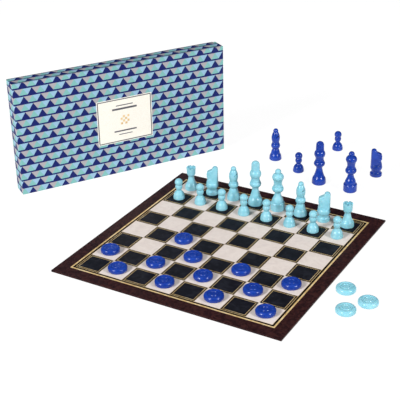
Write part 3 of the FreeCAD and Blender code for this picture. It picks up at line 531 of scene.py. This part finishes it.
fade = blend_stops(tree, tooth, (0.25, "#e6e6e6"), (0.75, "#ffffff"))
inked = {SHARE: 1.0, BELOW: quilted, ABOVE: fade}
worn = add(tree, "ShaderNodeMix", inked, data_type="RGBA", blend_type="MULTIPLY").outputs[MIXED]
tree.links.new(worn, shader.inputs["Base Color"])
surface(tree, shader, tooth, relief=(0.12, 0.03 * MM), polish=(0.45, 0.6))

white_lining = speckled(
    "white_lining_paper",
    grain=1.0 * MM,
    detail=5.0,
    tones=((0.3, "#d8d5cf"), (0.7, "#ebe9e4")),
    relief=(0.2, 0.03 * MM),
    polish=(0.7, 0.9),
    IOR=1.45,
)


def card_tray(name, low, high, mouth, materials):
    """Open box of card between two corners, closed at one end of Y; mouth says which way it opens."""
    shut, rim = (low.y, high.y) if mouth > 0 else (high.y, low.y)
    bm = bmesh.new()
    rings = []
    for inset, depth in ((0, shut), (0, rim), (CARD, rim), (CARD, shut + mouth * CARD)):
        x0, x1, z0, z1 = low.x + inset, high.x - inset, low.z + inset, high.z - inset
        plan = ((x0, z0), (x1, z0), (x1, z1), (x0, z1))
        rings.append([bm.verts.new((x, depth, z)) for x, z in plan])
    for order, (near, far) in enumerate(zip(rings, rings[1:])):
        for at in range(4):
            after = (at + 1) % 4
            bm.faces.new((near[at], near[after], far[after], far[at])).material_index = order // 2
    bm.faces.new(rings[0]).material_index = 0
    bm.faces.new(rings[3]).material_index = 1
    return rounded(piece(name, bm, materials), CARD_EDGE, segments=3)


def wrap_map(made, low, high):
    """Lays the paper's flat pattern out from the lid's face, and on over its four edges."""
    layer = made.data.uv_layers.new(name="wrap")
    for face in made.data.polygons:
        normal = face.normal
        for corner in face.loop_indices:
            point = made.data.vertices[made.data.loops[corner].vertex_index].co
            back = point.y - low.y
            across, along = point.x, point.z
            if abs(normal.z) > max(abs(normal.x), abs(normal.y)):
                along = high.z + back if normal.z > 0 else low.z - back
            elif abs(normal.x) > abs(normal.y):
                across = high.x + back if normal.x > 0 else low.x - back
            layer.data[corner].uv = (across, along)


lid_low, lid_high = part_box("box_lid")
lid = card_tray("wrapped_lid", lid_low, lid_high, 1, [quilt_paper, white_lining])
wrap_map(lid, lid_low, lid_high)
fix(lid, "box_lid", "lid_card", "box_lid")

# Lid label: a sheet of cream uncoated paper glued to the middle of the lid, with a grey printed line round
# its edge and, in its middle, a small chequer stamped in gold between printed rules.
LABEL_EDGE = 0.1 * MM
LINE_INSET = 1.2 * MM
LINE_WIDTH = 1.6 * MM
# Each rule by its height over the label's middle, its length and its width
RULES = (
    (26 * MM, 30 * MM, 1.6 * MM),
    (20 * MM, 44 * MM, 3.2 * MM),
    (-19 * MM, 40 * MM, 2.4 * MM),
    (-25 * MM, 24 * MM, 1.4 * MM),
)
CELL = 4 * MM
CELL_GAP = 0.3 * MM
CELL_COUNT = 4
UPRIGHT = math.radians(90)
label_low, label_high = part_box("lid_label")

cream_paper = speckled(
    "cream_uncoated_paper",
    grain=0.9 * MM,
    detail=5.0,
    tones=((0.3, "#e9e3d6"), (0.7, "#f5f1e8")),
    relief=(0.2, 0.03 * MM),
    polish=(0.7, 0.9),
    IOR=1.45,
)
line_ink = speckled(
    "grey_printing_ink",
    grain=1.5 * MM,
    detail=4.0,
    tones=((0.3, "#46464c"), (0.7, "#5c5c63")),
    relief=(0.05, 0.01 * MM),
    polish=(0.5, 0.65),
    IOR=1.5,
)

bm = bmesh.new()
block(bm, label_low, label_high)
label = piece("lid_label_sheet", bm, [cream_paper])
rounded(label, LABEL_EDGE)
fix(label, "box_lid", "label_paper", "lid_label")

size = label_high - label_low
centre = (label_low + label_high) / 2
front = Vector((centre.x, label_low.y, centre.z))
to_label = Matrix.Translation(front) @ Matrix.Rotation(UPRIGHT, 4, "X")
bm = bmesh.new()
ring(bm, size.x / 2 - LINE_INSET, size.z / 2 - LINE_INSET, LINE_WIDTH, FOIL)
for rise, long, wide in RULES:
    block(bm, (-long / 2, rise - wide / 2, 0), (long / 2, rise + wide / 2, FOIL))
label_lines = piece("label_printed_lines", bm, [line_ink], to_label)
fix(label_lines, "box_lid", "label_paper")

bm = bmesh.new()
half = (CELL - CELL_GAP) / 2
block(bm, (-half, -half, 0), (half, half, FOIL))
chequer = piece("label_chequer", bm, [])
turn = (UPRIGHT, 0.0, 0.0)
count = {"Columns": CELL_COUNT, "Rows": CELL_COUNT}
on_every_other(chequer, **count, Pitch=CELL, Centre=front, Turn=turn, Finish=gold_foil)
fix(chequer, "box_lid", "label_paper")

# Box base: the same corner-stayed greyboard as the lid, wrapped in plain, fine-grained navy paper, with the
# white lining inside. The lid slides over it.
base_low, base_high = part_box("box_base")

navy_paper = speckled(
    "navy_wrap_paper",
    grain=0.9 * MM,
    detail=5.0,
    tones=((0.3, "#141c40"), (0.7, "#222c58")),
    relief=(0.15, 0.03 * MM),
    polish=(0.5, 0.7),
    IOR=1.48,
)
base = card_tray("wrapped_base", base_low, base_high, -1, [navy_paper, white_lining])
fix(base, "box_base", "base_card", "box_base")

# Insert tray: a floor sheet and strips of white-lined card, cut square and glued on it edge to edge, which
# leave a well for the tall men, one for the pawns and one for the checkers in each of two columns.
STRIP_EDGE = 0.15 * MM
FLAT = math.radians(1)

for part in ("floor", "ends", "sides", "spine", "dividers"):
    bm = bmesh.new()
    bm.from_mesh(frame["nodes"][f"tray_{part}"].data)
    bmesh.ops.remove_doubles(bm, verts=bm.verts, dist=JOIN)
    bmesh.ops.dissolve_limit(bm, angle_limit=FLAT, verts=bm.verts, edges=bm.edges)
    strips = piece(f"card_tray_{part}", bm, [white_lining])
    rounded(strips, STRIP_EDGE)
    fix(strips, "box_base", "tray_card", f"tray_{part}")

# Stored men: the rest of both games, moulded as the others are. The chess men stand in the wells of the
# tray, and the checkers lie in stacks against its floor.
for node in sorted(frame["nodes"]):
    if node.startswith("stored_blue"):
        moulded(node, blue_resin, "blue_plastic")
    if node.startswith("stored_aqua"):
        moulded(node, aqua_resin, "aqua_plastic")

# Studio: a pale light table that throws hardly a shadow, a dome of light that is brightest overhead, and two
# softboxes in front, left and right, which give the men their paired highlights.
FLOOR_HALF = 20.0
FLOOR_DROP = 0.2 * MM
FLOOR_GRAIN = 4 * MM
WHITE = "#ffffff"
OVERHEAD = 0.36
OVERHEAD_POWER = 4.0
HAZE = 0.05
SOFTBOX = 0.6
SOFTBOXES = (("left_softbox", (-2.45, -0.59, 1.54), 80.0), ("right_softbox", (1.0, -2.31, 1.54), 57.0))
AIM = Vector((0, 0.05, 0.02))

studio_floor, tree, shader = new_material(
    "studio_floor_paper", Roughness=0.9, IOR=1.4, Emission_Color=linear(WHITE), Emission_Strength=0.93
)
spot = add(tree, "ShaderNodeTexCoord").outputs["Object"]
noise = {"Vector": spot, "Scale": 1 / FLOOR_GRAIN, "Detail": 2.0}
grain = add(tree, "ShaderNodeTexNoise", noise).outputs["Fac"]
tone = blend_stops(tree, grain, (0.3, "#5c5c5c"), (0.7, "#646464"))
tree.links.new(tone, shader.inputs["Base Color"])
bm = bmesh.new()
bmesh.ops.create_grid(bm, x_segments=1, y_segments=1, size=FLOOR_HALF)
floor = piece("studio_floor", bm, [studio_floor], Matrix.Translation((0, 0, -FLOOR_DROP)))

scene = bpy.context.scene
scene.view_settings.view_transform = "Standard"
world = bpy.data.worlds.new("studio")
world.use_nodes = True
tree = world.node_tree
spot = add(tree, "ShaderNodeTexCoord").outputs["Generated"]
climb = add(tree, "ShaderNodeSeparateXYZ", {"Vector": spot}).outputs["Z"]
steep = add(tree, "ShaderNodeMath", {0: climb, 1: OVERHEAD_POWER}, operation="POWER").outputs["Value"]
dome = {0: steep, 1: OVERHEAD, 2: HAZE}
sky = add(tree, "ShaderNodeMath", dome, operation="MULTIPLY_ADD").outputs["Value"]
tree.links.new(sky, tree.nodes["Background"].inputs["Strength"])
tree.nodes["Background"].inputs["Color"].default_value = linear(WHITE)
scene.world = world
for name, stand, power in SOFTBOXES:
    lamp = bpy.data.lights.new(name, "AREA")
    lamp.energy = power
    lamp.shape = "DISK"
    lamp.size = SOFTBOX
    holder = bpy.data.objects.new(name, lamp)
    holder.location = stand
    holder.rotation_euler = (AIM - Vector(stand)).to_track_quat("-Z", "Y").to_euler()
    scene.collection.objects.link(holder)

# Camera: the photographed view, high on the left of the board, through a long lens. It leans a little to one
# side, as the photograph does.
HEADING = math.radians(-26.466)
TILT = math.radians(27.0115)
ROLL = math.radians(-1.221)
STAND = (-0.6240, -1.1757, 0.75435)
SENSOR = 36
LENS = 93.88
back = Vector((math.sin(HEADING) * math.cos(TILT), -math.cos(HEADING) * math.cos(TILT), math.sin(TILT)))
level = (-back).cross(Vector((0, 0, 1))).normalized()
rise = level.cross(-back)
right = math.cos(ROLL) * level + math.sin(ROLL) * rise
up = math.cos(ROLL) * rise - math.sin(ROLL) * level
camera_data = bpy.data.cameras.new("camera")
camera_data.sensor_width = SENSOR
camera_data.lens = LENS
camera_data.clip_end = FLOOR_HALF
camera = bpy.data.objects.new("camera", camera_data)
turned = Matrix((right, up, back)).transposed().to_4x4()
camera.matrix_world = Matrix.Translation(STAND) @ turned
scene.collection.objects.link(camera)
scene.camera = camera
